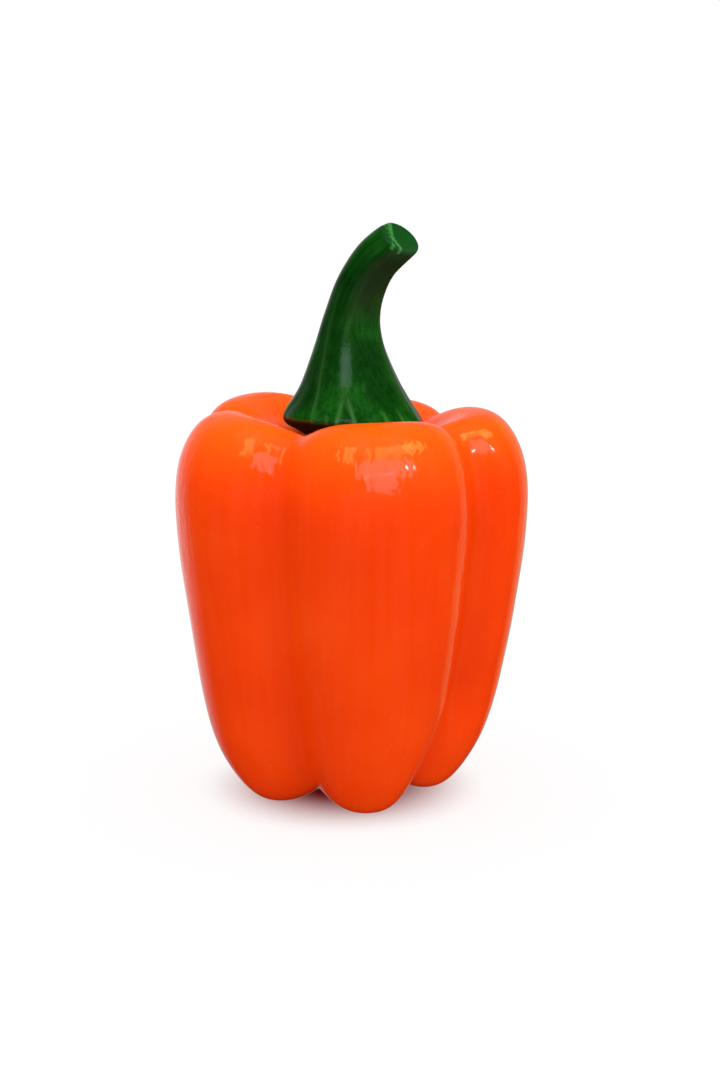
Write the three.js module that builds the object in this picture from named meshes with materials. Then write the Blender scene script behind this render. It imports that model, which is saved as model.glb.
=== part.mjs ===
// A bell pepper standing on its lobes: a five-lobed orange fruit and the bent green stem that it was
// picked by. Millimetres, +Z up. The origin is on the surface that the pepper stands on, under the
// fruit's axis. Azimuths are in degrees round that axis: 0 is the front, -Y, and 90 is the right, +X.
import * as THREE from 'three';

const { degToRad, radToDeg, lerp, smoothstep } = THREE.MathUtils;

// The fruit's size, and how finely its surface is divided
const FRUIT_RADIUS = 40;
const FRUIT_HEIGHT = 91;
const COLUMNS_PER_LOBE = 16;
const FRUIT_RINGS_PER_SPAN = 3;

// How steeply a lobe rises out of its groove, and how wide the groove's rounded bottom is as a share
// of half a lobe
const GROOVE_STEEPNESS = 2.6;
const GROOVE_ROUNDING = 0.12;

// The five lobes, in order round the axis. Reach scales the crest's distance from the axis in the
// upper half and footReach at the foot. Foot and shoulder lift the lobe's lower and upper end, in
// millimetres.
const LOBES = [
  { azimuth: 11, reach: 1.005, footReach: 1, foot: 0, shoulder: 0 },
  { azimuth: 92, reach: 1.0, footReach: 1.03, foot: 1, shoulder: -2 },
  { azimuth: 165, reach: 1.0, footReach: 1, foot: 0, shoulder: -3.5 },
  { azimuth: 234, reach: 1.06, footReach: 1.02, foot: 0, shoulder: -1.1 },
  { azimuth: 291, reach: 1.045, footReach: 1.13, foot: 0, shoulder: -0.7 },
];

// Heights between which a lobe's reach changes over, as shares of FRUIT_HEIGHT
const REACH_CHANGES_FROM = 0;
const REACH_CHANGES_TO = 0.5;

// Distances from the axis between which a lobe's lift comes in, as shares of FRUIT_RADIUS. Nearer the
// axis the lobes meet in the dimple below and the hollow above.
const LIFT_STARTS = 0.1;
const LIFT_FULL = 0.45;

// The fruit's two outlines, from the blossom end's dimple, out under a foot, up the side, over the
// shoulder and down to the floor of the hollow that the stem stands in. Each point is its distance from
// the axis as a share of FRUIT_RADIUS, and its height as a share of FRUIT_HEIGHT. The crest runs down
// the middle of a lobe and the groove between two lobes, point for point.
const CREST_OUTLINE = [
  [0.0, 0.1],
  [0.15, 0.075],
  [0.31, 0.012],
  [0.44, -0.006],
  [0.58, 0.03],
  [0.745, 0.155],
  [0.865, 0.345],
  [0.945, 0.55],
  [0.99, 0.755],
  [0.963, 0.885],
  [0.85, 0.975],
  [0.67, 1.0],
  [0.49, 0.965],
  [0.33, 0.905],
  [0.16, 0.872],
  [0.0, 0.866],
];
const GROOVE_OUTLINE = [
  [0.0, 0.1],
  [0.14, 0.09],
  [0.27, 0.065],
  [0.37, 0.06],
  [0.47, 0.085],
  [0.6, 0.19],
  [0.7, 0.36],
  [0.77, 0.55],
  [0.82, 0.74],
  [0.79, 0.86],
  [0.7, 0.935],
  [0.57, 0.955],
  [0.44, 0.935],
  [0.31, 0.895],
  [0.16, 0.872],
  [0.0, 0.866],
];

// The stem's place and size, and how finely its surface is divided. Its underside hangs into the
// fruit's hollow, clear of the floor.
const COLLAR_HEIGHT = 84.5;
const COLLAR_RADIUS = 15.6;
const UNDERSIDE = -4.8;
const TIP = 48;
const STEM_COLUMNS = 70;
const STEM_RINGS_PER_SPAN = 2;

// The stem's outline, from the middle of its underside, out to the collar's rim, up the neck and over
// the cut end. Each point is its distance from the centreline, and its distance along the centreline
// from COLLAR_HEIGHT, in millimetres.
const STEM_OUTLINE = [
  [0.0, UNDERSIDE],
  [4.0, -4.6],
  [8.0, -3.8],
  [11.5, -0.9],
  [14.4, 0.8],
  [COLLAR_RADIUS, 2.4],
  [15.0, 4.1],
  [12.9, 7.3],
  [10.9, 11.0],
  [8.9, 15.8],
  [7.1, 21.1],
  [5.9, 27.1],
  [5.3, 33.7],
  [5.1, 38.4],
  [4.75, 43.2],
  [4.3, TIP - 1.0],
  [3.7, TIP],
  [2.0, TIP - 0.4],
  [0.0, TIP - 0.7],
];

// The line that the stem bends along, from below its underside to past its cut end, in millimetres from
// the fruit's axis and from COLLAR_HEIGHT
const STEM_CENTRELINE = [
  [-0.2, 0.0, -6.0],
  [-0.3, 0.0, 0],
  [-0.7, 0.0, 10],
  [-0.8, -0.2, 19],
  [-0.2, -0.9, 26],
  [1.6, -2.2, 32.7],
  [5.2, -4.2, 39.1],
  [10.9, -7.6, 44.4],
];

// The collar and the cut end lie aslant across the centreline. Each slant has the azimuth at which its
// ring stands highest, its steepness, and the distances along the centreline between which it fades
// out or comes in.
const COLLAR_SLANT = { azimuth: -45, steepness: 0.12, full: 3, none: 12 };
const CUT_SLANT = { azimuth: 90, steepness: 0.22, full: 47, none: 40 };

// The ribs that run up the stem from the collar's rim: their azimuths, how far they stand out, how
// many degrees each takes, and the stem radii between which they grow to that height
const RIB_AZIMUTHS = [-14, 4, 27, 44, 71, 99, 127, 156, 187, 214, 243, 272, 299, 323];
const RIB_HEIGHT = 0.6;
const RIB_HALF_WIDTH = 8;
const RIB_STARTS = 3;
const RIB_FULL = 12;

// A smooth curve through an outline's points, with a fixed number of steps between two points
function sampleOutline(points, stepsPerSpan) {
  const curve = new THREE.SplineCurve(points.map(([across, up]) => new THREE.Vector2(across, up)));
  return curve.getPoints((points.length - 1) * stepsPerSpan);
}

// A surface turned round +Z from an outline, whose vertices are then placed by a function of their
// column round the axis and their ring along the outline
function turnAndShape(outline, columns, place) {
  const geometry = new THREE.LatheGeometry(outline, columns);
  const position = geometry.getAttribute('position');
  for (let column = 0; column <= columns; column += 1) {
    for (let ring = 0; ring < outline.length; ring += 1) {
      const point = place(column % columns, ring);
      position.setXYZ(column * outline.length + ring, point.x, point.y, point.z);
    }
  }
  geometry.computeVertexNormals();
  return geometry;
}

// How far the surface bulges from groove (0) to crest (1), at a place across the lobe that runs from
// one groove (-1) over the crest (0) to the other groove (1)
function bulgeAcross(place) {
  const fromGroove = 1 - Math.abs(place);
  const rounded = Math.hypot(fromGroove, GROOVE_ROUNDING) - GROOVE_ROUNDING;
  const full = Math.hypot(1, GROOVE_ROUNDING) - GROOVE_ROUNDING;
  return 1 - (1 - rounded / full) ** GROOVE_STEEPNESS;
}

// The lobe, azimuth and bulge of a column of the fruit. Every lobe has the same number of columns,
// half of them on each side of its crest, and a groove lies midway between two crests.
function fruitColumn(column) {
  const index = Math.floor(column / COLUMNS_PER_LOBE);
  const lobe = LOBES[index];
  const across = (2 * (column % COLUMNS_PER_LOBE)) / COLUMNS_PER_LOBE - 1;
  const step = across < 0 ? -1 : 1;
  const neighbour = LOBES[(index + step + LOBES.length) % LOBES.length];
  const apart = (step * (neighbour.azimuth - lobe.azimuth) + 360) % 360;
  return { lobe, azimuth: degToRad(lobe.azimuth + (across * apart) / 2), bulge: bulgeAcross(across) };
}

function fruitGeometry() {
  const crest = sampleOutline(CREST_OUTLINE, FRUIT_RINGS_PER_SPAN);
  const groove = sampleOutline(GROOVE_OUTLINE, FRUIT_RINGS_PER_SPAN);
  const place = (column, ring) => {
    const { lobe, azimuth, bulge } = fruitColumn(column);
    const { x: crestOut, y: crestUp } = crest[ring];
    const upperShare = smoothstep(crestUp, REACH_CHANGES_FROM, REACH_CHANGES_TO);
    const reach = lerp(lobe.footReach, lobe.reach, upperShare);
    const lift = lerp(lobe.foot, lobe.shoulder, smoothstep(crestUp, 0, 1));
    const lifted = lift * bulge * smoothstep(crestOut, LIFT_STARTS, LIFT_FULL);
    const radius = FRUIT_RADIUS * lerp(groove[ring].x, crestOut * reach, bulge);
    const height = FRUIT_HEIGHT * lerp(groove[ring].y, crestUp, bulge) + lifted;
    // A foot is flat where it meets the surface that the pepper stands on
    const standing = Math.max(height, 0);
    return new THREE.Vector3(radius * Math.sin(azimuth), -radius * Math.cos(azimuth), standing);
  };
  return turnAndShape(crest, LOBES.length * COLUMNS_PER_LOBE, place);
}

// How far the nearest rib raises the stem's surface at an azimuth, from 0 to 1
function ribAt(azimuth) {
  const raised = RIB_AZIMUTHS.map((rib) => {
    const away = Math.abs(((azimuth - rib + 540) % 360) - 180);
    return Math.exp(-((away / RIB_HALF_WIDTH) ** 2));
  });
  return Math.max(...raised);
}

// How far along the centreline a slant moves the stem's surface, at an azimuth, a distance from the
// centreline and a distance along it
function slantedBy({ azimuth, steepness, full, none }, at, out, along) {
  const share = full > none ? smoothstep(along, none, full) : 1 - smoothstep(along, full, none);
  return share * steepness * out * Math.cos(at - degToRad(azimuth));
}

function stemGeometry() {
  const outline = sampleOutline(STEM_OUTLINE, STEM_RINGS_PER_SPAN);
  const centreline = new THREE.CatmullRomCurve3(
    STEM_CENTRELINE.map(([right, back, up]) => new THREE.Vector3(right, back, COLLAR_HEIGHT + up)),
  );
  const length = centreline.getLength();
  const place = (column, ring) => {
    const azimuth = (column / STEM_COLUMNS) * 2 * Math.PI;
    const { x: out, y: straight } = outline[ring];
    const collarMoved = slantedBy(COLLAR_SLANT, azimuth, out, straight);
    const cutMoved = slantedBy(CUT_SLANT, azimuth, out, straight);
    const along = (straight + collarMoved + cutMoved - STEM_CENTRELINE[0][2]) / length;
    const direction = centreline.getTangentAt(along);
    const right = new THREE.Vector3(0, 1, 0).cross(direction).normalize();
    const front = new THREE.Vector3().crossVectors(right, direction).normalize();
    const rib = RIB_HEIGHT * ribAt(radToDeg(azimuth)) * smoothstep(out, RIB_STARTS, RIB_FULL);
    const radius = out + rib;
    return centreline
      .getPointAt(along)
      .addScaledVector(right, radius * Math.sin(azimuth))
      .addScaledVector(front, radius * Math.cos(azimuth));
  };
  return turnAndShape(outline, STEM_COLUMNS, place);
}

const fruit = new THREE.Mesh(
  fruitGeometry(),
  new THREE.MeshStandardMaterial({ color: 0xf24106, roughness: 0.22, metalness: 0 }),
);
fruit.name = 'fruit';

const stem = new THREE.Mesh(
  stemGeometry(),
  new THREE.MeshStandardMaterial({ color: 0x0e480e, roughness: 0.3, metalness: 0 }),
);
stem.name = 'stem';

const bellPepper = new THREE.Group();
bellPepper.name = 'bell_pepper';
bellPepper.add(fruit, stem);

export default bellPepper;
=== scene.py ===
"""A bell pepper that stands on the ends of its lobes: the orange fruit and its bent green stem.

Metres, +Z up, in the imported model's frame. Azimuths are in degrees round the fruit's axis: 0 is the
front, -Y, and 90 is the right, +X.
"""

import logging
import math
from collections.abc import Callable, Iterable, Iterator
from contextlib import contextmanager
from dataclasses import dataclass, field
from enum import Enum
from functools import partial

import bmesh
import bpy
import numpy as np
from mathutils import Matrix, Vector
from mathutils.geometry import interpolate_bezier


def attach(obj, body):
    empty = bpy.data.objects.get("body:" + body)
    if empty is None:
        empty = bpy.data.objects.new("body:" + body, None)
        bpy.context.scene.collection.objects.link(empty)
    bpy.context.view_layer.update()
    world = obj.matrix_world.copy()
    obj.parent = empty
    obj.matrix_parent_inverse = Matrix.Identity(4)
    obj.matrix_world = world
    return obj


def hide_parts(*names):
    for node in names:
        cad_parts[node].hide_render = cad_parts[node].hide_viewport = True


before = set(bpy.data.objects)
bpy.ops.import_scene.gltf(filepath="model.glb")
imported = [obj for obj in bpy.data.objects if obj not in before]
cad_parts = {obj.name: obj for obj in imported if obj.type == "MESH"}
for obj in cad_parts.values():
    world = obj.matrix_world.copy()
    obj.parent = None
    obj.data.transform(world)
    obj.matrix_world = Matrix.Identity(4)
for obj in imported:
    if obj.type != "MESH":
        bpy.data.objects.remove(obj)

LOG = logging.getLogger("bell_pepper")
MM = 0.001
BODY = "root"

# How a Map Range node eases its value in and out
EASED = {"interpolation_type": "SMOOTHSTEP"}

Socket = bpy.types.NodeSocket
Adder = Callable[..., Socket]


def smooth_line(points: Iterable[tuple[float, ...]], steps: int) -> list[Vector]:
    """Draw a smooth line through points.

    Args:
        points: The points, of two or three numbers each.
        steps: How many steps to take from one point to the next.

    Returns:
        The line's points, from the first to the last.
    """
    knots = [Vector(point).to_3d() for point in points]
    last = len(knots) - 1
    line = []
    for span in range(last):
        before, start, end, after = (knots[min(max(span + k, 0), last)] for k in (-1, 0, 1, 2))
        line += interpolate_bezier(
            start, start + (end - before) / 6, end - (after - start) / 6, end, steps + 1
        )[:-1]
    return [*line, knots[last]]


def smoothstep(low: float, high: float, value: float) -> float:
    """Rise smoothly from 0 at low to 1 at high.

    Args:
        low: Where the rise starts.
        high: Where it ends.
        value: Where to read it.

    Returns:
        A share from 0 to 1.
    """
    share = min(max((value - low) / (high - low), 0.0), 1.0)
    return share * share * (3 - 2 * share)


def around(azimuth: float) -> Vector:
    """Give the direction away from the axis at an azimuth in degrees."""
    return Vector((math.sin(math.radians(azimuth)), -math.cos(math.radians(azimuth)), 0.0))


def azimuth_of(place: Vector) -> float:
    """Give the azimuth of a place, from 0 to 360 degrees."""
    return math.degrees(math.atan2(place.x, -place.y)) % 360


def apart(first: float, second: float) -> float:
    """Give the angle from one azimuth to another the short way round, in degrees."""
    return (second - first + 180) % 360 - 180


@contextmanager
def edit_mode(piece: bpy.types.Object) -> Iterator[None]:
    """Work on a piece in edit mode, on its vertices, with nothing selected at first.

    Args:
        piece: The piece to work on.

    Yields:
        Nothing, while the piece is in edit mode.
    """
    bpy.ops.object.select_all(action="DESELECT")
    bpy.context.view_layer.objects.active = piece
    piece.select_set(True)
    bpy.ops.object.mode_set(mode="EDIT")
    bpy.ops.mesh.select_mode(type="VERT")
    bpy.ops.mesh.select_all(action="DESELECT")
    yield
    bpy.ops.object.mode_set(mode="OBJECT")


def select_only(work: bmesh.types.BMesh, chosen: Iterable[bmesh.types.BMVert]) -> None:
    """Select some vertices of the mesh in edit mode and nothing else.

    Args:
        work: The mesh in edit mode.
        chosen: The vertices to select.
    """
    bpy.ops.mesh.select_all(action="DESELECT")
    for vert in chosen:
        vert.select_set(True)
    work.select_flush_mode()


def first_ring(name: str, columns: int, radius: float, height: float) -> bpy.types.Object:
    """Start a piece as an open ring round the vertical axis, with its origin at the frame's origin.

    Args:
        name: The piece's name.
        columns: How many vertices the ring has.
        radius: The ring's radius.
        height: The ring's height.

    Returns:
        The new piece.
    """
    bpy.ops.object.select_all(action="DESELECT")
    bpy.ops.mesh.primitive_circle_add(
        vertices=columns, radius=radius, fill_type="NOTHING", location=(0, 0, height)
    )
    piece = bpy.context.object
    piece.name = piece.data.name = name
    bpy.ops.object.transform_apply(location=True, rotation=True, scale=True)
    return piece


def extrude_ring(piece: bpy.types.Object, rise: float) -> list[bmesh.types.BMVert]:
    """Extrude the selected ring upwards and give the new ring's vertices, which stay selected."""
    bpy.ops.mesh.extrude_region_move(TRANSFORM_OT_translate={"value": (0, 0, rise)})
    return [vert for vert in bmesh.from_edit_mesh(piece.data).verts if vert.select]


def close_ends(piece: bpy.types.Object, columns: int) -> None:
    """Fill the open ring at each end of a piece with a grid and turn every face outwards.

    Args:
        piece: The piece in edit mode.
        columns: How many vertices each ring has.
    """
    work = bmesh.from_edit_mesh(piece.data)
    rim = sorted((vert for vert in work.verts if vert.is_boundary), key=lambda vert: vert.co.z)
    for ring in (rim[:columns], rim[columns:]):
        select_only(work, ring)
        bpy.ops.mesh.select_mode(type="EDGE")
        bpy.ops.mesh.fill_grid(span=columns // 4)
        bpy.ops.mesh.select_mode(type="VERT")
    bpy.ops.mesh.select_all(action="SELECT")
    bpy.ops.mesh.normals_make_consistent(inside=False)


def apply_modifier(piece: bpy.types.Object, kind: str, **settings: object) -> None:
    """Add a modifier to a piece and apply it.

    Args:
        piece: The piece.
        kind: The modifier's type.
        **settings: Its properties.
    """
    bpy.context.view_layer.objects.active = piece
    modifier = piece.modifiers.new(kind.title(), kind)
    for key, value in settings.items():
        setattr(modifier, key, value)
    bpy.ops.object.modifier_apply(modifier=modifier.name)


def write_attribute(piece: bpy.types.Object, name: str, values: np.ndarray) -> None:
    """Store a vector for each vertex, for the piece's material to read.

    Args:
        piece: The piece.
        name: The attribute's name.
        values: Three numbers for each vertex.
    """
    layer = piece.data.attributes.new(name, "FLOAT_VECTOR", "POINT")
    layer.data.foreach_set("vector", np.asarray(values, dtype=np.float32).ravel())


def places(piece: bpy.types.Object) -> np.ndarray:
    """Read the place of every vertex of a piece.

    Args:
        piece: The piece.

    Returns:
        One row of three numbers for each vertex.
    """
    flat = np.empty(len(piece.data.vertices) * 3, dtype=np.float32)
    piece.data.vertices.foreach_get("co", flat)
    return flat.reshape(-1, 3)


def linear(code: str) -> tuple[float, float, float, float]:
    """Turn an sRGB hex colour into the linear colour that a material takes.

    Args:
        code: Six hex digits.

    Returns:
        Linear red, green, blue and an alpha of 1.
    """
    shares = [int(code[at : at + 2], 16) / 255 for at in (0, 2, 4)]
    turned = [s / 12.92 if s <= 0.04045 else ((s + 0.055) / 1.055) ** 2.4 for s in shares]
    return (*turned, 1.0)


def new_material(name: str) -> bpy.types.Material:
    """Start a material with an empty node tree.

    Args:
        name: The material's name.

    Returns:
        The material.
    """
    material = bpy.data.materials.new(name)
    material.use_nodes = True
    material.node_tree.nodes.clear()
    return material


def add_node(
    tree: bpy.types.NodeTree,
    kind: str,
    inputs: dict[str | int, object] | None = None,
    output: str | int = 0,
    **settings: object,
) -> Socket | None:
    """Add a node with its settings, its inputs' values and the links into them.

    Args:
        tree: The node tree to add it to.
        kind: The node's type, without the words that all types start with.
        inputs: For an input's name or number, its value or the output to link to it.
        output: The name or number of the output to give.
        **settings: The node's own properties.

    Returns:
        The output, or nothing where the node has none.
    """
    node = tree.nodes.new(f"ShaderNode{kind}")
    for key, value in settings.items():
        setattr(node, key, value)
    for key, value in (inputs or {}).items():
        if isinstance(value, Socket):
            tree.links.new(value, node.inputs[key])
        else:
            node.inputs[key].default_value = value
    return node.outputs[output] if node.outputs else None


def paint(add: Adder, base: str, coats: Iterable[tuple[Socket, str]]) -> Socket:
    """Lay coats of colour over a base colour, one after the other.

    Args:
        add: Adds a node to the material.
        base: The base colour's hex code.
        coats: Each coat's share, from 0 to 1 over the surface, and its hex code.

    Returns:
        The colour.
    """
    colour = linear(base)
    for share, code in coats:
        colour = add("Mix", {0: share, 6: colour, 7: linear(code)}, 2, data_type="RGBA")
    return colour


@dataclass(frozen=True)
class WaxySkin:
    """The ripe fruit's skin: a thin clear wax layer over orange flesh, grown smooth.

    The wax gives it sharp, wet-looking highlights with ragged edges, because the skin under it is
    faintly rippled. The colour is deep and even, with soft clouds and lengthwise streaks and a few pale
    pores. The shoulders are more orange, partly in the skin's own colour and partly as painted light on
    the tops that the overhead light falls on, and the grooves are painted a deeper red as painted shade.
    A little light goes through the flesh and softens the grooves.
    Pattern sizes, heights and depths are in millimetres. The grain is drawn coarser than the real
    one, which is too fine to show.
    """

    deep: str = "DC3603"
    usual: str = "E23B03"
    light: str = "E64205"
    # Partly the skin's own colour and partly painted light on the tops, where the overhead light falls
    shoulder: str = "EA4E07"
    # Painted shade: the deeper red that darkens the grooves
    groove: str = "DE3002"
    pore: str = "EC6420"
    blemish: str = "8A3A14"
    scar: str = "8A5A28"
    tones: tuple[float, float, float] = (0.32, 0.5, 0.7)
    cloud: float = 24
    streak: float = 1.7
    streak_stretch: float = 16
    streak_share: float = 0.13
    shoulder_colour_and_light_heights: tuple[float, float] = (72, 92)
    pore_spacing: float = 3.4
    blemish_spacing: float = 17
    ripple: float = 1.6
    ripple_stretch: float = 2.2
    ripple_depth: float = 0.14
    ripple_heights: tuple[float, float] = (45, 68)
    ripple_below: float = 0.3
    grain: float = 0.45
    grain_depth: float = 0.003
    scar_radius: float = 2.6
    scar_height: float = 12
    scar_roughness: float = 0.7
    roughness: tuple[float, float] = (0.08, 0.15)
    ior: float = 1.45
    glow_through: float = 0.1
    glow_reach: float = 3 * MM

    def material(self, radius: float) -> bpy.types.Material:
        """Make the skin's material.

        Args:
            radius: The fruit's radius, at which the streaks' width is true.

        Returns:
            The material.
        """
        material = new_material("waxy_orange_skin")
        add = partial(add_node, material.node_tree)
        here = add("VectorMath", {0: add("TexCoord", output="Object"), "Scale": 1 / MM}, operation="SCALE")
        height = add("SeparateXYZ", {0: here}, "Z")
        lobe_way = add("Attribute", output="Vector", attribute_name="lobe_way")
        streak = self._streak(add, lobe_way, height, radius / MM)

        # The corky scar that the blossom leaves in the dimple below
        middle = (0, 0, self.scar_height)
        from_scar = add("VectorMath", {0: here, 1: middle}, "Value", operation="DISTANCE")
        edge = {1: self.scar_radius, 2: self.scar_radius * 1.4}
        scar = add("MapRange", {0: from_scar, 3: 1, 4: 0} | edge, **EASED)
        waxed = add(
            "MapRange", {0: streak, 1: 0.3, 2: 0.7, 3: self.roughness[0], 4: self.roughness[1]}, **EASED
        )
        surface = add(
            "BsdfPrincipled",
            {
                "Base Color": self._colour(add, here, lobe_way, streak, scar),
                "Roughness": add("Mix", {0: scar, 2: waxed, 3: self.scar_roughness}),
                "IOR": self.ior,
                "Subsurface Weight": self.glow_through,
                "Subsurface Radius": (1.0, 0.35, 0.1),
                "Subsurface Scale": self.glow_reach,
                "Normal": self._relief(add, here, height),
            },
        )
        add("OutputMaterial", {"Surface": surface})
        return material

    def _streak(self, add: Adder, lobe_way: Socket, height: Socket, radius: float) -> Socket:
        """Add the streaks, which keep to one azimuth all the way up.

        Args:
            add: Adds a node to the material.
            lobe_way: The direction away from the axis, and the place across the lobe.
            height: The height in millimetres.
            radius: The radius in millimetres at which the streaks' width is true.

        Returns:
            Noise drawn out lengthwise, from 0 to 1.
        """
        wall = add("VectorMath", {0: lobe_way, 1: (radius, radius, 0)}, operation="MULTIPLY")
        pressed = add("Math", {0: height, 1: 1 / self.streak_stretch}, operation="MULTIPLY")
        rise = add("CombineXYZ", {"Z": pressed})
        upright = add("VectorMath", {0: wall, 1: rise}, operation="ADD")
        return add("TexNoise", {"Vector": upright, "Scale": 1 / self.streak, "Detail": 4})

    def _colour(self, add: Adder, here: Socket, lobe_way: Socket, streak: Socket, scar: Socket) -> Socket:
        """Add the skin's colour.

        Args:
            add: Adds a node to the material.
            here: The place in millimetres.
            lobe_way: The direction away from the axis, and the place across the lobe.
            streak: The streaks.
            scar: 1 on the blossom's scar and 0 beside it.

        Returns:
            The colour.
        """
        groove, height = (add("SeparateXYZ", {0: way}, "Z") for way in (lobe_way, here))
        cloud = add("TexNoise", {"Vector": here, "Scale": 1 / self.cloud, "Detail": 3})
        tone = add("Mix", {0: self.streak_share, 2: cloud, 3: streak})
        deep, usual, light = self.tones
        from_pore = add("TexVoronoi", {"Vector": here, "Scale": 1 / self.pore_spacing})
        from_blemish = add("TexVoronoi", {"Vector": here, "Scale": 1 / self.blemish_spacing})
        low, high = self.shoulder_colour_and_light_heights
        coats = (
            (add("MapRange", {0: tone, 1: deep, 2: usual}), self.usual),
            (add("MapRange", {0: tone, 1: usual, 2: light}), self.light),
            # The shoulders' coat: partly their own colour and partly painted light on the tops
            (add("MapRange", {0: height, 1: low, 2: high}, **EASED), self.shoulder),
            # Painted shade in the grooves, deepest in the valleys between the lobes
            (add("MapRange", {0: groove, 1: 0.75, 2: 1, 3: 0, 4: 0.3}, **EASED), self.groove),
            (add("MapRange", {0: from_pore, 1: 0.03, 2: 0.09, 3: 0.35, 4: 0}, **EASED), self.pore),
            (add("MapRange", {0: from_blemish, 1: 0.018, 2: 0.034, 3: 0.8, 4: 0}, **EASED), self.blemish),
            (scar, self.scar),
        )
        return paint(add, self.deep, coats)

    def _relief(self, add: Adder, here: Socket, height: Socket) -> Socket:
        """Add the skin's relief, rippled on the shoulders and nearly smooth below them.

        Args:
            add: Adds a node to the material.
            here: The place in millimetres.
            height: The height in millimetres.

        Returns:
            The surface's normal.
        """
        pressed = add("VectorMath", {0: here, 1: (1, 1, 1 / self.ripple_stretch)}, operation="MULTIPLY")
        ripple = add("TexNoise", {"Vector": pressed, "Scale": 1 / self.ripple, "Detail": 1})
        low, high = self.ripple_heights
        strength = add("MapRange", {0: height, 1: low, 2: high, 3: self.ripple_below, 4: 1}, **EASED)
        ripple = add("Math", {0: ripple, 1: strength}, operation="MULTIPLY")
        rippled = add("Bump", {"Height": ripple, "Distance": self.ripple_depth * MM})
        grain = add("TexNoise", {"Vector": here, "Scale": 1 / self.grain, "Detail": 2})
        return add("Bump", {"Height": grain, "Distance": self.grain_depth * MM, "Normal": rippled})


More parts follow.
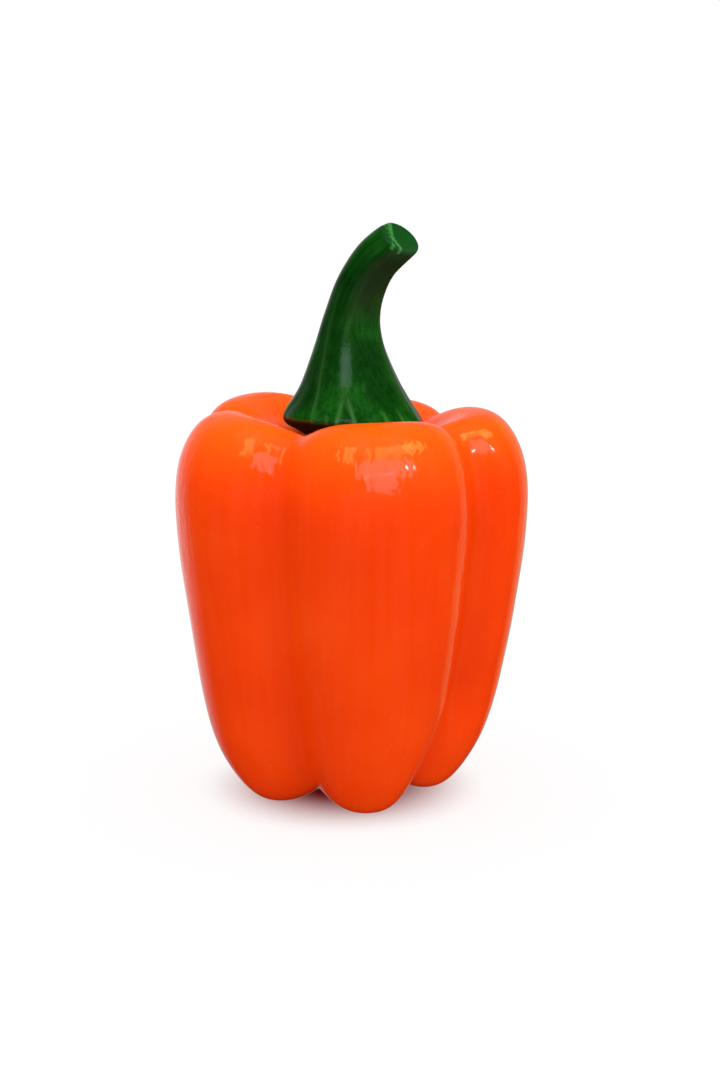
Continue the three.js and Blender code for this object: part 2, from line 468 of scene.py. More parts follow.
@dataclass(frozen=True)
class FreshStemRind:
    """The stem's rind: firm green tissue with lengthwise fibres under a thin wax.

    It is dark and glossy, and paler along the crests of the fine ribs. The side that faces down where
    the neck bends over is painted darker, as painted shade under the bend. The cut end is a little
    paler, the lips of its notch are painted paler as a painted highlight, and the face under the collar
    is painted nearly black as painted shade. Pattern sizes, and the distances along the stem between
    which a colour comes in or fades out, are in millimetres. The cut edge lies that far short of the
    tip, and the lips that far from the notch's line.
    """

    deep: str = "032703"
    usual: str = "053204"
    light: str = "0A4806"
    crest: str = "38682C"
    # Painted shade on the side that faces down under the neck's bend
    bend_shade: str = "0C2302"
    cut: str = "0B3810"
    # Painted highlight along the two lips of the notch in the cut end
    lip_highlight: str = "2C6A2A"
    # Painted shade: the face under the collar, painted nearly black where shade falls under it
    collar_shade: str = "0A0403"
    tones: tuple[float, float, float] = (0.35, 0.5, 0.66)
    fibre: float = 0.8
    fibre_stretch: float = 22
    fibre_share: float = 0.35
    fibre_depth: float = 0.02
    grain: float = 0.55
    grain_depth: float = 0.045
    cloud: float = 9
    crest_share: float = 0.75
    # Heights along the stem over which the painted shade under the collar fades out upwards
    rim: tuple[float, float] = (1.8, 2.9)
    neck: tuple[float, float] = (22, 40)
    neck_underside: tuple[float, float, float] = (0.2, -0.16, 0)
    bend_shade_until: tuple[float, float] = (44.5, 47.5)
    bend_shade_share: float = 0.85
    cut_edge: tuple[float, float] = (-1.2, -0.7)
    lip_starts: tuple[float, float] = (47.0, 47.6)
    lip_inside: tuple[float, float] = (0.25, 0.7)
    lip_outside: tuple[float, float] = (0.8, 1.25)
    roughness: tuple[float, float] = (0.14, 0.26)
    dull_roughness: float = 0.9
    ior: float = 1.36

    def material(self, tip: float, notch: tuple[Vector, Vector]) -> bpy.types.Material:
        """Make the rind's material.

        Args:
            tip: How far along the stem its cut end is, in metres.
            notch: The two ends of the notch in the cut end, on the straight stem.

        Returns:
            The material.
        """
        material = new_material("fresh_stem_rind")
        add = partial(add_node, material.node_tree)
        here = add("VectorMath", {0: add("TexCoord", output="Object"), "Scale": 1 / MM}, operation="SCALE")
        stem_way = add("Attribute", output="Vector", attribute_name="stem_way")
        way = add("VectorMath", {0: stem_way, "Scale": 1 / MM}, operation="SCALE")
        along = add("SeparateXYZ", {0: way}, "Z")
        pressed = add("VectorMath", {0: way, 1: (1, 1, 1 / self.fibre_stretch)}, operation="MULTIPLY")
        fibre = add("TexNoise", {"Vector": pressed, "Scale": 1 / self.fibre, "Detail": 3})
        cloud = add("TexNoise", {"Vector": here, "Scale": 1 / self.cloud, "Detail": 2})
        tone = add("Mix", {0: self.fibre_share, 2: cloud, 3: fibre})
        deep, usual, light = self.tones

        bent = self._bent_side(add, way, along)
        # Painted shade under the neck's bend, fading out before the cut end
        until, gone = self.bend_shade_until
        short = add("MapRange", {0: along, 1: until, 2: gone, 3: self.bend_shade_share, 4: 0}, **EASED)
        # Painted shade under the collar, full below the rim and gone above it
        below = add("MapRange", {0: along, 1: self.rim[0], 2: self.rim[1], 3: 1, 4: 0}, **EASED)
        edge = (tip / MM + shift for shift in self.cut_edge)
        rib = add("Attribute", output="Vector", attribute_name="stem_rib")
        rib = add("SeparateXYZ", {0: rib}, "X")
        coats = (
            (add("MapRange", {0: tone, 1: deep, 2: usual}), self.usual),
            (add("MapRange", {0: tone, 1: usual, 2: light}), self.light),
            (add("Math", {0: rib, 1: self.crest_share}, operation="MULTIPLY"), self.crest),
            # Painted shade under the bend
            (add("Math", {0: bent, 1: short}, operation="MULTIPLY"), self.bend_shade),
            (add("MapRange", {0: along, 1: next(edge), 2: next(edge)}, **EASED), self.cut),
            # Painted highlight along the notch's lips
            (self._notch_lips(add, way, along, notch), self.lip_highlight),
            # Painted shade under the collar
            (below, self.collar_shade),
        )
        rough, rougher = self.roughness
        waxed = add("MapRange", {0: fibre, 1: 0.3, 2: 0.7, 3: rough, 4: rougher}, **EASED)
        dull = add("Math", {0: below, 1: bent}, operation="MAXIMUM")
        grain = add("TexNoise", {"Vector": here, "Scale": 1 / self.grain, "Detail": 1})
        grained = add("Bump", {"Height": grain, "Distance": self.grain_depth * MM})
        surface = add(
            "BsdfPrincipled",
            {
                "Base Color": paint(add, self.deep, coats),
                "Roughness": add("Mix", {0: dull, 2: waxed, 3: self.dull_roughness}),
                "IOR": self.ior,
                "Normal": add(
                    "Bump", {"Height": fibre, "Distance": self.fibre_depth * MM, "Normal": grained}
                ),
            },
        )
        add("OutputMaterial", {"Surface": surface})
        return material

    def _bent_side(self, add: Adder, way: Socket, along: Socket) -> Socket:
        """Find the side that faces down where the neck bends over.

        Args:
            add: Adds a node to the material.
            way: The place on the straight stem, in millimetres.
            along: The distance along the stem, in millimetres.

        Returns:
            1 on that side and 0 elsewhere.
        """
        under = add("VectorMath", {0: way, 1: self.neck_underside}, "Value", operation="DOT_PRODUCT")
        facing = add("MapRange", {0: under, 1: 0.35, 2: 1.1}, **EASED)
        on_neck = add("MapRange", {0: along, 1: self.neck[0], 2: self.neck[1]}, **EASED)
        return add("Math", {0: facing, 1: on_neck}, operation="MULTIPLY")

    def _notch_lips(self, add: Adder, way: Socket, along: Socket, notch: tuple[Vector, Vector]) -> Socket:
        """Find the two lips of the notch in the cut end.

        Args:
            add: Adds a node to the material.
            way: The place on the straight stem, in millimetres.
            along: The distance along the stem, in millimetres.
            notch: The notch's two ends, in metres.

        Returns:
            1 on the lips and 0 elsewhere.
        """
        start, end = (point / MM for point in notch)
        across = (end - start).cross(Vector((0, 0, 1))).normalized()
        signed = add("VectorMath", {0: way, 1: across}, "Value", operation="DOT_PRODUCT")
        offset = add("Math", {0: signed, 1: start.dot(across)}, operation="SUBTRACT")
        away = add("Math", {0: offset}, operation="ABSOLUTE")
        inside = add("MapRange", {0: away, 1: self.lip_inside[0], 2: self.lip_inside[1]}, **EASED)
        outside = add(
            "MapRange", {0: away, 1: self.lip_outside[0], 2: self.lip_outside[1], 3: 1, 4: 0}, **EASED
        )
        at_end = add("MapRange", {0: along, 1: self.lip_starts[0], 2: self.lip_starts[1]}, **EASED)
        lip = add("Math", {0: inside, 1: outside}, operation="MULTIPLY")
        return add("Math", {0: lip, 1: at_end}, operation="MULTIPLY")


@dataclass(frozen=True)
class Lobe:
    """One lobe of the fruit.

    Its reach scales the crest's distance from the axis in the upper half, and foot_reach at the foot.
    Foot and shoulder lift its lower and upper end. The groove that follows it has a reach of its own,
    and lies lower by groove_drop on the shoulder.
    """

    azimuth: float
    reach: float
    foot_reach: float
    foot: float
    shoulder: float
    groove_reach: float = 1.0
    groove_drop: float = 0.0


@dataclass(frozen=True)
class Lean:
    """How far a groove is turned round the axis, in degrees, between two heights."""

    low: float
    high: float
    turn: float


@dataclass
class Fruit:
    """The lobed fruit, as one closed skin from the blossom end's dimple to the floor of the hollow.

    The two outlines run from the dimple out under a foot, up the side, over the shoulder and down into
    the hollow, one along a lobe's crest and one along the groove between two lobes, point for point.
    Each point is its distance from the axis as a share of the radius, and its height as a share of
    the height.
    """

    name: str = "fruit_skin"
    radius: float = 40 * MM
    height: float = 91 * MM
    columns_per_lobe: int = 16
    rings_per_span: int = 3
    groove_steepness: float = 2.9
    foot_steepness: float = 2.1
    groove_rounding: float = 0.1
    foot_ends: float = 0.16
    reach_changes_to: float = 0.5
    lift_starts: float = 0.1
    lift_full: float = 0.45
    drop_heights: tuple[float, float] = (0.6, 0.9)
    drop_reaches: tuple[float, float] = (0.3, 0.5)
    leans: tuple[Lean, ...] = (Lean(26 * MM, 84 * MM, 7), Lean(0, 12 * MM, -3.5))
    lean_from: float = 12 * MM
    lean_width: float = 18 * MM
    lean_half_column: float = 3
    subdivisions: int = 2
    wave_length: float = 22 * MM
    wave_height: float = 0.5 * MM
    lobes: tuple[Lobe, ...] = (
        Lobe(azimuth=11, reach=1.005, foot_reach=1.0, foot=0 * MM, shoulder=0 * MM, groove_reach=0.94),
        Lobe(azimuth=92, reach=1.0, foot_reach=1.03, foot=1 * MM, shoulder=-2 * MM, groove_drop=2 * MM),
        Lobe(azimuth=165, reach=1.0, foot_reach=1.0, foot=0 * MM, shoulder=-3.5 * MM),
        Lobe(azimuth=234, reach=1.06, foot_reach=1.02, foot=0 * MM, shoulder=-1.1 * MM),
        Lobe(azimuth=291, reach=1.045, foot_reach=1.13, foot=0 * MM, shoulder=-0.7 * MM),
    )
    crest_outline: tuple[tuple[float, float], ...] = (
        (0.0, 0.1),
        (0.15, 0.075),
        (0.31, 0.012),
        (0.44, -0.006),
        (0.58, 0.03),
        (0.745, 0.155),
        (0.865, 0.345),
        (0.945, 0.55),
        (0.99, 0.755),
        (0.963, 0.885),
        (0.85, 0.975),
        (0.67, 1.0),
        (0.49, 0.965),
        (0.33, 0.905),
        (0.16, 0.872),
        (0.0, 0.866),
    )
    groove_outline: tuple[tuple[float, float], ...] = (
        (0.0, 0.1),
        (0.14, 0.088),
        (0.27, 0.056),
        (0.37, 0.048),
        (0.47, 0.074),
        (0.6, 0.19),
        (0.7, 0.36),
        (0.77, 0.55),
        (0.82, 0.74),
        (0.79, 0.86),
        (0.7, 0.935),
        (0.57, 0.955),
        (0.44, 0.935),
        (0.31, 0.895),
        (0.16, 0.872),
        (0.0, 0.866),
    )
    skin: WaxySkin = field(default_factory=WaxySkin)

    def bulge(self, across: float, up: float) -> float:
        """Give the bulge from groove to crest at a place across a lobe.

        Args:
            across: -1 and 1 at the lobe's two grooves, and 0 on its crest.
            up: The ring's height as a share of the fruit's. The feet are rounder than the walls.

        Returns:
            0 in a groove to 1 on the crest.
        """
        rounded = math.hypot(1 - abs(across), self.groove_rounding) - self.groove_rounding
        full = math.hypot(1, self.groove_rounding) - self.groove_rounding
        steeper = (self.groove_steepness - self.foot_steepness) * smoothstep(0, self.foot_ends, up)
        steepness = self.foot_steepness + steeper
        return 1 - (1 - rounded / full) ** steepness

    def column(self, azimuth: float) -> tuple[Lobe, float]:
        """Find the lobe at an azimuth, and the place across it.

        Args:
            azimuth: The azimuth in degrees.

        Returns:
            The lobe, and -1 to 1 from its one groove to its other.
        """
        index = min(range(len(self.lobes)), key=lambda k: abs(self._across(k, azimuth)))
        return self.lobes[index], self._across(index, azimuth)

    def _half_width(self, index: int, side: int) -> float:
        """Give the angle from a lobe's crest to its groove, in degrees.

        Args:
            index: The lobe's number.
            side: 1 for the groove that follows the lobe and -1 for the one before it.

        Returns:
            The angle.
        """
        neighbour = self.lobes[(index + side) % len(self.lobes)]
        return abs(apart(self.lobes[index].azimuth, neighbour.azimuth)) / 2

    def _across(self, index: int, azimuth: float) -> float:
        """Give the place across a lobe at an azimuth, from -1 to 1 on the lobe and past them beside it."""
        turn = apart(self.lobes[index].azimuth, azimuth)
        return turn / self._half_width(index, 1 if turn >= 0 else -1)

    def build(self) -> bpy.types.Object:
        """Model the fruit, dress it and set it in the frame.

        Returns:
            The fruit.
        """
        crest = smooth_line(self.crest_outline, self.rings_per_span)[1:-1]
        groove = smooth_line(self.groove_outline, self.rings_per_span)[1:-1]
        columns = len(self.lobes) * self.columns_per_lobe
        piece = first_ring(self.name, columns, self.radius * crest[0].x, self.height * crest[0].y)
        with edit_mode(piece):
            self._spread_columns(piece)
            for ring in range(1, len(crest)):
                rise = self.height * (crest[ring].y - crest[ring - 1].y)
                self._shape_ring(piece, extrude_ring(piece, rise), crest[ring], groove[ring])
            close_ends(piece, columns)
        self._finish(piece)
        self._dress(piece)
        return piece

    def _spread_columns(self, piece: bpy.types.Object) -> None:
        """Turn each of the first ring's vertices to its place across a lobe.

        Args:
            piece: The piece in edit mode, with its first ring alone.
        """
        work = bmesh.from_edit_mesh(piece.data)
        ring = sorted(work.verts, key=lambda vert: azimuth_of(vert.co))
        for number, vert in enumerate(ring):
            index, step = divmod(number, self.columns_per_lobe)
            across = 2 * step / self.columns_per_lobe - 1
            wanted = self.lobes[index].azimuth + across * self._half_width(index, 1 if across >= 0 else -1)
            select_only(work, [vert])
            # Turned with no window, the turn goes the other way, which is the way azimuths run
            bpy.ops.transform.rotate(
                value=-math.radians(wanted - azimuth_of(vert.co)),
                orient_axis="Z",
                center_override=(0, 0, 0),
            )
        bpy.ops.mesh.select_all(action="SELECT")

    def _point(self, azimuth: float, crest: Vector, groove: Vector) -> tuple[float, float]:
        """Find where the skin passes at one azimuth of a ring.

        Args:
            azimuth: The azimuth in degrees.
            crest: The ring's point on the crest outline.
            groove: The ring's point on the groove outline.

        Returns:
            The distance from the axis and the height.
        """
        lobe, across = self.column(azimuth)
        beside = lobe if across >= 0 else self.lobes[self.lobes.index(lobe) - 1]
        bulge = self.bulge(min(abs(across), 1.0), crest.y)
        upper = smoothstep(0, self.reach_changes_to, crest.y)
        reach = lobe.foot_reach + (lobe.reach - lobe.foot_reach) * upper
        inner = groove.x * beside.groove_reach
        out = self.radius * (inner + (crest.x * reach - inner) * bulge)
        lift = lobe.foot + (lobe.shoulder - lobe.foot) * smoothstep(0, 1, crest.y)
        lift *= bulge * smoothstep(self.lift_starts, self.lift_full, crest.x)
        drop = beside.groove_drop * smoothstep(*self.drop_heights, groove.y)
        drop *= smoothstep(*self.drop_reaches, groove.x)
        up = self.height * (groove.y + (crest.y - groove.y) * bulge) + lift - drop * (1 - bulge)
        return round(out, 7), round(max(up, 0.0), 7)

    def _shape_ring(
        self, piece: bpy.types.Object, ring: list[bmesh.types.BMVert], crest: Vector, groove: Vector
    ) -> None:
        """Size the new ring, one group of columns at a time, and leave it selected.

        Args:
            piece: The piece in edit mode.
            ring: The new ring's vertices.
            crest: The ring's point on the crest outline.
            groove: The ring's point on the groove outline.
        """
        work = bmesh.from_edit_mesh(piece.data)
        groups: dict[tuple[float, float], list[bmesh.types.BMVert]] = {}
        for vert in ring:
            groups.setdefault(self._point(azimuth_of(vert.co), crest, groove), []).append(vert)
        # Sized about a place below the floor, where no ring is, so that each height can be scaled
        below = -10 * MM
        for (out, up), verts in groups.items():
            now = verts[0].co.copy()
            select_only(work, verts)
            wider = out / now.to_2d().length
            taller = (up - below) / (now.z - below)
            bpy.ops.transform.resize(value=(wider, wider, taller), center_override=(0, 0, below))
        select_only(work, ring)

    def _lean_groove(self, piece: bpy.types.Object) -> None:
        """Carry the groove right of the front lobe to the right above and to the front below.

        Args:
            piece: The fruit, before it is subdivided.
        """
        groove = (self.lobes[0].azimuth + self.lobes[1].azimuth) / 2
        for lean in self.leans:
            with edit_mode(piece):
                work = bmesh.from_edit_mesh(piece.data)
                chosen = [
                    vert
                    for vert in work.verts
                    if lean.low <= vert.co.z <= lean.high
                    and vert.co.to_2d().length > self.lean_from
                    and abs(apart(groove, azimuth_of(vert.co))) < self.lean_half_column
                ]
                select_only(work, chosen)
                # Turned with no window, the turn goes the other way, which is the way azimuths run
                bpy.ops.transform.rotate(
                    value=-math.radians(lean.turn),
                    orient_axis="Z",
                    center_override=(0, 0, 0),
                    use_proportional_edit=True,
                    proportional_edit_falloff="SMOOTH",
                    proportional_size=self.lean_width,
                )

    def _finish(self, piece: bpy.types.Object) -> None:
        """Lean the one groove, smooth the skin, give it its slow waves, and flatten the feet.

        Args:
            piece: The fruit as its rings left it.
        """
        self._lean_groove(piece)
        apply_modifier(piece, "SUBSURF", levels=self.subdivisions, render_levels=self.subdivisions)
        waves = bpy.data.textures.new("skin_waves", "CLOUDS")
        waves.noise_scale = self.wave_length
        waves.noise_depth = 1
        apply_modifier(piece, "DISPLACE", texture=waves, texture_coords="LOCAL", strength=self.wave_height)
        with edit_mode(piece):
            work = bmesh.from_edit_mesh(piece.data)
            select_only(work, [vert for vert in work.verts if vert.co.z < 0])
            bpy.ops.transform.resize(value=(1, 1, 0), center_override=(0, 0, 0))
        bpy.ops.object.shade_smooth()

    def _dress(self, piece: bpy.types.Object) -> None:
        """Give the fruit its skin, and its place in the frame.

        Args:
            piece: The fruit in its final shape.
        """
        spots = places(piece)
        turns = np.arctan2(spots[:, 0], -spots[:, 1])
        # The share is 0 on a lobe's crest and 1 in its groove, where the skin's colour paints shade
        grooves = [min(abs(self.column(math.degrees(turn))[1]), 1.0) for turn in turns]
        write_attribute(piece, "lobe_way", np.column_stack([np.sin(turns), -np.cos(turns), grooves]))
        piece.data.materials.append(self.skin.material(self.radius))
        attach(piece, BODY)
        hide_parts("fruit")


@dataclass(frozen=True)
class Rib:
    """A rib that runs up the stem.

    It starts at one azimuth and height and ends at another, and gets lower on its way up.
    """

    azimuth: float
    top_azimuth: float
    top: float
    foot: float = 0.6 * MM
    height: float = 0.5 * MM
    width: float = 1.5 * MM
    pale: float = 1.0


@dataclass(frozen=True)
class Slant:
    """How a ring of the stem lies aslant across the centreline.

    It stands highest at an azimuth. The slant is full at one distance along the stem, and fades out
    towards another.
    """

    azimuth: float
    steepness: float
    full: float
    none: float

    def at(self, along: float) -> Vector:
        """Give the slant of a ring as the slopes towards +X and +Y.

        Args:
            along: The ring's distance along the stem.

        Returns:
            The two slopes, as a vector.
        """
        low, high = sorted((self.full, self.none))
        share = smoothstep(low, high, along)
        return around(self.azimuth) * self.steepness * (share if self.full > self.none else 1 - share)


@dataclass
class Stem:
    """The stem: a collar in the fruit's hollow, a neck that bends to the right, and a cut end.

    The outline's points are distances from the centreline and along it, and the centreline's are
    places from collar_height, all in millimetres. The ribs and the notch are pulled a third of their
    height at a time, each time up to another share of their length.
    """

    name: str = "stem_rind"
    collar_height: float = 84.5 * MM
    columns: int = 112
    rings_per_span: int = 3
    outline: tuple[tuple[float, float], ...] = (
        (0.0, -4.8),
        (4.0, -4.6),
        (8.0, -3.8),
        (11.5, -0.9),
        (14.4, 0.8),
        (15.6, 2.4),
        (15.0, 4.1),
        (12.9, 7.3),
        (10.9, 11.0),
        (8.9, 15.8),
        (7.1, 21.1),
        (5.9, 27.1),
        (5.3, 33.7),
        (5.1, 38.4),
        (4.9, 43.2),
        (4.75, 47.5),
        (4.1, 48.6),
        (2.2, 48.2),
        (0.0, 47.9),
    )
    centreline: tuple[tuple[float, float, float], ...] = (
        (-0.2, 0.0, -6.0),
        (-0.3, 0.0, 0),
        (-0.7, 0.0, 10),
        (-0.8, -0.2, 19),
        (-0.2, -0.9, 26),
        (1.6, -2.2, 32.7),
        (5.2, -4.2, 39.1),
        (10.9, -7.6, 44.4),
    )
    slants: tuple[Slant, ...] = (
        Slant(azimuth=-45, steepness=0.12, full=3 * MM, none=12 * MM),
        Slant(azimuth=90, steepness=0.22, full=47 * MM, none=40 * MM),
    )
    ribs: tuple[Rib, ...] = (
        # The inverted V at the front, the hooked rib and the fine ones beside them
        Rib(-13, -8, 10 * MM, height=0.6 * MM),
        Rib(5, -4, 10 * MM, height=0.6 * MM),
        Rib(33, 28, 6 * MM, height=0.5 * MM),
        Rib(49, 46, 6 * MM, height=0.35 * MM),
        Rib(-20, -21, 4.5 * MM, height=0.3 * MM),
        # The long fine ridge on the left
        Rib(-32, -56, 34 * MM, height=0.35 * MM, width=1.7 * MM, pale=0.45),
        # The fine ribs at the sides and the back
        Rib(72, 68, 8 * MM),
        Rib(99, 94, 9 * MM),
        Rib(124, 122, 11 * MM),
        Rib(148, 148, 7 * MM),
        Rib(172, 176, 10 * MM),
        Rib(199, 204, 8 * MM),
        Rib(226, 228, 12 * MM),
        Rib(252, 254, 9 * MM),
        Rib(282, 284, 10 * MM, height=0.3 * MM),
        # The five broad ridges of the neck
        Rib(-8, -6, 44 * MM, foot=8 * MM, height=0.5 * MM, width=4 * MM, pale=0.25),
        Rib(62, 62, 44 * MM, foot=6 * MM, height=0.6 * MM, width=4 * MM, pale=0.25),
        Rib(134, 134, 44 * MM, foot=6 * MM, height=0.6 * MM, width=4 * MM, pale=0.25),
        Rib(206, 206, 44 * MM, foot=6 * MM, height=0.6 * MM, width=4 * MM, pale=0.25),
        Rib(276, 276, 44 * MM, foot=6 * MM, height=0.4 * MM, width=4 * MM, pale=0.25),
    )
    rib_shares: tuple[float, float, float] = (1.0, 0.75, 0.45)
    rib_core: float = 3 * MM
    pale_width: float = 0.3
    subdivisions: int = 1
    cut_height: float = 47.1 * MM
    notch_azimuths: tuple[float, float] = (248, 355)
    notch_reach: float = 4.0 * MM
    notch_shares: tuple[float, float, float] = (1.0, 0.7, 0.4)
    notch_depth: float = 1.5 * MM
    notch_width: float = 0.8 * MM
    notch_line: float = 0.3 * MM
    rind: FreshStemRind = field(default_factory=FreshStemRind)

    def build(self) -> bpy.types.Object:
        """Model the stem, dress it and set it in the frame.

        Returns:
            The stem.
        """
        outline = [
            Vector((point.x, point.y)) * MM
            for point in smooth_line(self.outline, self.rings_per_span)[1:-1]
        ]
        piece = first_ring(self.name, self.columns, outline[0].x, outline[0].y)
        with edit_mode(piece):
            bpy.ops.mesh.select_all(action="SELECT")
            for before, now in zip(outline, outline[1:]):
                extrude_ring(piece, now.y - before.y)
                wider = now.x / before.x
                bpy.ops.transform.resize(value=(wider, wider, 1), center_override=(0, 0, now.y))
            close_ends(piece, self.columns)
            for rib in self.ribs:
                self._raise_rib(piece, rib)
            self._notch_cut(piece)
        apply_modifier(piece, "SUBSURF", levels=self.subdivisions, render_levels=self.subdivisions)
        self._write_way(piece)
        self._bend(piece)
        bpy.ops.object.shade_smooth()
        notch = tuple(around(azimuth) * self.notch_reach for azimuth in self.notch_azimuths)
        piece.data.materials.append(self.rind.material(max(point.y for point in outline), notch))
        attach(piece, BODY)
        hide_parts("stem")
        return piece

    def _raise_rib(self, piece: bpy.types.Object, rib: Rib) -> None:
        """Pull one rib out of the straight stem, in goes that make it lower towards its top.

        Args:
            piece: The stem in edit mode, still straight.
            rib: The rib.
        """
        work = bmesh.from_edit_mesh(piece.data)
        half_column = 180 / self.columns
        for share in self.rib_shares:
            chosen = []
            for vert in work.verts:
                climbed = (vert.co.z - rib.foot) / (rib.top - rib.foot)
                if not 0 <= climbed <= share or vert.co.to_2d().length < self.rib_core:
                    continue
                azimuth = rib.azimuth + apart(rib.azimuth, rib.top_azimuth) * climbed
                if abs(apart(azimuth, azimuth_of(vert.co))) <= half_column:
                    chosen.append(vert)
            select_only(work, chosen)
            bpy.ops.transform.translate(
                value=around(rib.azimuth) * rib.height / len(self.rib_shares),
                use_proportional_edit=True,
                proportional_edit_falloff="SMOOTH",
                proportional_size=rib.width,
            )

    def _from_notch(self, place: Iterable[float]) -> tuple[float, float]:
        """Give the distance of a place on the cut end from the notch's line, and the share along it.

        Args:
            place: The place on the straight stem.

        Returns:
            The distance, and 0 at the notch's start to 1 at its end.
        """
        start, end = (around(azimuth) * self.notch_reach for azimuth in self.notch_azimuths)
        line = (end - start).to_2d()
        away = Vector(tuple(place)[:2]) - start.to_2d()
        return abs(line.normalized().cross(away)), away.dot(line) / line.length_squared

    def _notch_cut(self, piece: bpy.types.Object) -> None:
        """Sink the notch into the cut end, in goes that make it deeper towards its start.

        Args:
            piece: The stem in edit mode, still straight.
        """
        work = bmesh.from_edit_mesh(piece.data)
        for share in self.notch_shares:
            chosen = []
            for vert in work.verts:
                away, along = self._from_notch(vert.co)
                on_line = away < self.notch_line and -0.1 <= along <= share
                if vert.co.z > self.cut_height and on_line:
                    chosen.append(vert)
            select_only(work, chosen)
            bpy.ops.transform.translate(
                value=(0, 0, -self.notch_depth / len(self.notch_shares)),
                use_proportional_edit=True,
                proportional_edit_falloff="SMOOTH",
                proportional_size=self.notch_width,
            )

    def _write_way(self, piece: bpy.types.Object) -> None:
        """Store each vertex's place on the straight stem, and how much rib it is on.

        Args:
            piece: The straight stem.
        """
        spots = places(piece)
        turns = np.degrees(np.arctan2(spots[:, 0], -spots[:, 1]))
        out = np.hypot(spots[:, 0], spots[:, 1])
        write_attribute(piece, "stem_way", spots)
        share = np.zeros(len(spots))
        for rib in self.ribs:
            climbed = (spots[:, 2] - rib.foot) / (rib.top - rib.foot)
            line = rib.azimuth + apart(rib.azimuth, rib.top_azimuth) * climbed
            away = np.radians(np.abs((turns - line + 180) % 360 - 180)) * out
            fading = np.clip(1 - climbed, 0, 1) ** 0.5 * np.clip(climbed / 0.05 + 1, 0, 1)
            near = np.exp(-((away / (self.pale_width * rib.width)) ** 2))
            share = np.maximum(share, rib.pale * fading * near)
        write_attribute(piece, "stem_rib", np.repeat(share[:, None], 3, axis=1))

    def _bend(self, piece: bpy.types.Object) -> None:
        """Lay the straight stem's rings aslant, and bend it along its centreline.

        Args:
            piece: The straight stem.
        """
        spots = places(piece)
        level = Vector((0, 0, 0))
        slopes = np.array([sum((slant.at(z) for slant in self.slants), level) for z in spots[:, 2]])
        spots[:, 2] += (spots[:, :2] * slopes[:, :2]).sum(axis=1) - self.centreline[0][2] * MM
        # The bend gives the stem a quarter turn, which this takes back
        spots[:, :2] = np.column_stack([-spots[:, 1], spots[:, 0]])
        piece.data.vertices.foreach_set("co", spots.ravel())
        points = [
            (point + Vector((0, 0, self.collar_height / MM))) * MM
            for point in smooth_line(self.centreline, 6)
        ]
        curve = bpy.data.curves.new("stem_centreline", "CURVE")
        curve.dimensions = "3D"
        curve.twist_mode = "MINIMUM"
        spline = curve.splines.new("POLY")
        spline.points.add(len(points) - 1)
        for spline_point, place in zip(spline.points, points):
            spline_point.co = (*place, 1)
        line = bpy.data.objects.new("stem_centreline", curve)
        bpy.context.scene.collection.objects.link(line)
        apply_modifier(piece, "CURVE", object=line, deform_axis="POS_Z")
        bpy.data.objects.remove(line)


class Gives(Enum):
    """What a softbox gives the pieces that it lights."""

    SHADING = "shading"
    HIGHLIGHT = "highlight"


class Lights(Enum):
    """Which pieces a softbox lights."""

    BOTH = ("fruit_skin", "stem_rind")
    FRUIT = ("fruit_skin",)
    STEM = ("stem_rind",)


@dataclass(frozen=True)
class Softbox:
    """A rectangle of light that faces the fruit, at a distance, a width and a height in metres."""

    name: str
    azimuth: float
    elevation: float
    distance: float
    width: float
    height: float
    radiance: float
    gives: Gives
    lights: Lights = Lights.BOTH
    colour: str = "FFFFFF"

    def build(self, target: Vector, pieces: list[bpy.types.Object]) -> bpy.types.Object:
        """Hang the softbox and aim it.

        Args:
            target: The place that it faces.
            pieces: The pieces, of which it lights its own and leaves the floor out.

        Returns:
            The light.
        """
        lit = bpy.data.collections.new(f"lit_by_{self.name}")
        for piece in pieces:
            if piece.name in self.lights.value:
                lit.objects.link(piece)
        level = math.radians(self.elevation)
        away = around(self.azimuth) * math.cos(level) + Vector((0, 0, math.sin(level)))
        bpy.ops.object.light_add(type="AREA", location=target + away * self.distance)
        light = bpy.context.object
        light.name = light.data.name = self.name
        light.rotation_mode = "QUATERNION"
        light.rotation_quaternion = away.to_track_quat("Z", "Y")
        light.data.shape = "RECTANGLE"
        light.data.size, light.data.size_y = self.width, self.height
        light.data.energy = self.radiance * math.pi * self.width * self.height
        light.data.color = linear(self.colour)[:3]
        light.visible_camera = False
        light.visible_glossy = self.gives is Gives.HIGHLIGHT
        light.visible_diffuse = self.gives is Gives.SHADING
        light.light_linking.receiver_collection = lit
        return light


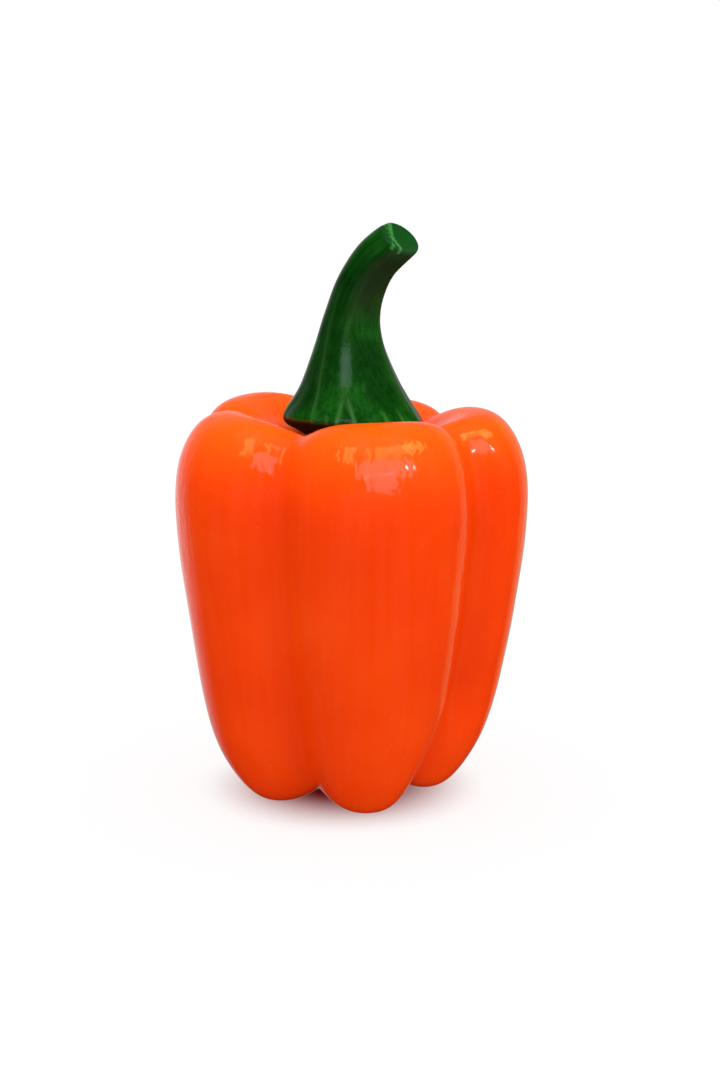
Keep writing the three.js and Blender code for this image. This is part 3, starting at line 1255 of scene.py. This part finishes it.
@dataclass
class Studio:
    """The white sweep, the soft light and the camera that the pepper is photographed with.

    The floor's glow paints the pepper's shadow onto it: the glow comes in with the distance from the
    shadow's middle, between two distances for red and two for the other colours, so that the painted
    shadow is pink.
    """

    target: Vector = field(default_factory=lambda: Vector((1.37, 0, 59)) * MM)
    camera_distance: float = 500 * MM
    camera_elevation: float = 13
    lens: float = 72.9
    sensor: float = 36
    floor_size: float = 8
    floor_colour: str = "808080"
    floor_glow: float = 0.84
    # Where the floor's painted shadow is centred, and where it fades out in red and in the other colours
    painted_shadow_middle: tuple[float, float, float] = (-2.7 * MM, 1.1 * MM, 0)
    red_shadow_reach: tuple[float, float] = (3 * MM, 35 * MM)
    other_shadow_reach: tuple[float, float] = (8 * MM, 35 * MM)
    ambient: float = 0.85
    backdrop: float = 1.0
    softboxes: tuple[Softbox, ...] = (
        # The light that the pieces are seen by
        Softbox("overhead", 0, 80, 1.0, 1.0, 1.0, 4.8, Gives.SHADING),
        Softbox("right_fill", 70, 20, 1.0, 0.8, 0.8, 1.2, Gives.SHADING),
        Softbox("low_fill", -5, 0, 1.0, 1.0, 0.4, 1.6, Gives.SHADING, Lights.FRUIT),
        # What the fruit's skin mirrors: a window, a lamp, and warm panels over the shoulders and behind
        Softbox("window_top", 20, 35, 0.9, 0.78, 0.3, 1.85, Gives.HIGHLIGHT, Lights.FRUIT),
        Softbox("window_low", 17, 20, 0.9, 0.4, 0.28, 1.85, Gives.HIGHLIGHT, Lights.FRUIT),
        Softbox("lamp", 53, 30, 0.9, 0.11, 0.05, 40, Gives.HIGHLIGHT, Lights.FRUIT),
        Softbox("warm_left", -26, 54, 0.9, 0.22, 0.5, 5.5, Gives.HIGHLIGHT, Lights.FRUIT, "FFC46A"),
        Softbox("warm_right", 38, 55, 0.9, 0.55, 0.28, 4.2, Gives.HIGHLIGHT, Lights.FRUIT, "FFC46A"),
        Softbox("warm_far", 74, 52, 0.9, 0.34, 0.3, 6.0, Gives.HIGHLIGHT, Lights.FRUIT, "FFC46A"),
        Softbox("warm_rim", 140, 0, 0.9, 0.65, 1.0, 0.45, Gives.HIGHLIGHT, Lights.FRUIT, "FFC46A"),
        # The stem's own window and fill
        Softbox("stem_window", -12, 33, 0.9, 0.95, 0.33, 2.4, Gives.HIGHLIGHT, Lights.STEM, "D8E8FF"),
        Softbox("stem_fill", 60, 20, 1.0, 0.8, 0.8, 2.6, Gives.SHADING, Lights.STEM),
    )

    def build(self, pieces: list[bpy.types.Object]) -> None:
        """Set up the floor, the light and the camera.

        Args:
            pieces: The pieces that the softboxes light.
        """
        self._floor()
        self._world()
        for softbox in self.softboxes:
            softbox.build(self.target, pieces)
        self._camera()
        bpy.context.scene.view_settings.view_transform = "Standard"

    def _floor(self) -> None:
        """Lay the white floor.

        Glossy skin doesn't mirror it. It glows everywhere but under the pepper, which paints the pepper's
        shadow onto it, and its glow comes in nearer to the pepper in red than in the other colours, which
        paints the shadow pink, as in the shadow of an orange thing.
        """
        bpy.ops.object.select_all(action="DESELECT")
        bpy.ops.mesh.primitive_plane_add(size=self.floor_size)
        floor = bpy.context.object
        floor.name = floor.data.name = "white_floor"
        floor.visible_glossy = False
        paper = new_material("white_floor_painted_shadow")
        add = partial(add_node, paper.node_tree)
        white = add("BsdfDiffuse", {"Color": linear(self.floor_colour)})
        here = add("TexCoord", output="Object")
        # Painted shadow: the glow is held back under the pepper, over less ground in red, so the shadow is
        # pink
        out = add("VectorMath", {0: here, 1: self.painted_shadow_middle}, "Value", operation="DISTANCE")
        red, other = (
            add("MapRange", {0: out, 1: starts, 2: full, 3: 0, 4: self.floor_glow}, **EASED)
            for starts, full in (self.red_shadow_reach, self.other_shadow_reach)
        )
        colour = add("CombineColor", {"Red": red, "Green": other, "Blue": other})
        glow = add("Emission", {"Color": colour, "Strength": 1.0})
        add("OutputMaterial", {"Surface": add("AddShader", {0: white, 1: glow})})
        floor.data.materials.append(paper)

    def _world(self) -> None:
        """Surround the scene with white, which glossy skin mirrors from the back alone."""
        world = bpy.data.worlds.new("white_surroundings")
        bpy.context.scene.world = world
        world.use_nodes = True
        # With no sampling of its own the world tells glossy rays from the others
        world.cycles.sampling_method = "NONE"
        world.node_tree.nodes.clear()
        add = partial(add_node, world.node_tree)
        toward = add("TexCoord", output="Generated")
        x, y, z = (add("SeparateXYZ", {0: toward}, axis) for axis in "XYZ")
        back = add("MapRange", {0: y, 1: 0.35, 2: 1.0}, **EASED)
        side = add("MapRange", {0: x, 1: -0.4, 2: 0.4, 3: 1.0, 4: 0.25})
        low = add("MapRange", {0: z, 1: -0.6, 2: -0.3})
        level = add("MapRange", {0: z, 1: -0.2, 2: 0.4, 3: low, 4: 0.25})
        glow = add("Math", {0: back, 1: side}, operation="MULTIPLY")
        mirrored = add("Math", {0: glow, 1: level, 2: 0.01}, operation="MULTIPLY_ADD")
        lit = add("Mix", {0: add("LightPath", output="Is Glossy Ray"), 2: self.ambient, 3: mirrored})
        seen = add("Mix", {0: add("LightPath", output="Is Camera Ray"), 2: lit, 3: self.backdrop})
        background = add("Background", {"Color": linear("FFFFFF"), "Strength": seen})
        add("OutputWorld", {"Surface": background})

    def _camera(self) -> None:
        """Set the camera where the photograph was taken from."""
        level = math.radians(self.camera_elevation)
        away = Vector((0, -math.cos(level), math.sin(level)))
        bpy.ops.object.camera_add(
            location=self.target + away * self.camera_distance,
            rotation=(math.pi / 2 - level, 0, 0),
        )
        camera = bpy.context.object
        camera.data.lens = self.lens
        camera.data.sensor_width = self.sensor
        camera.data.clip_start = 10 * MM
        bpy.context.scene.camera = camera


def main() -> None:
    """Build the pepper and the studio."""
    logging.basicConfig(level=logging.INFO, format="%(name)s: %(message)s")
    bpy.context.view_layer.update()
    pieces = [part.build() for part in (Fruit(), Stem())]
    for piece in pieces:
        LOG.info("%s: %d faces", piece.name, len(piece.data.polygons))
    Studio().build(pieces)


if __name__ == "__main__":
    main()
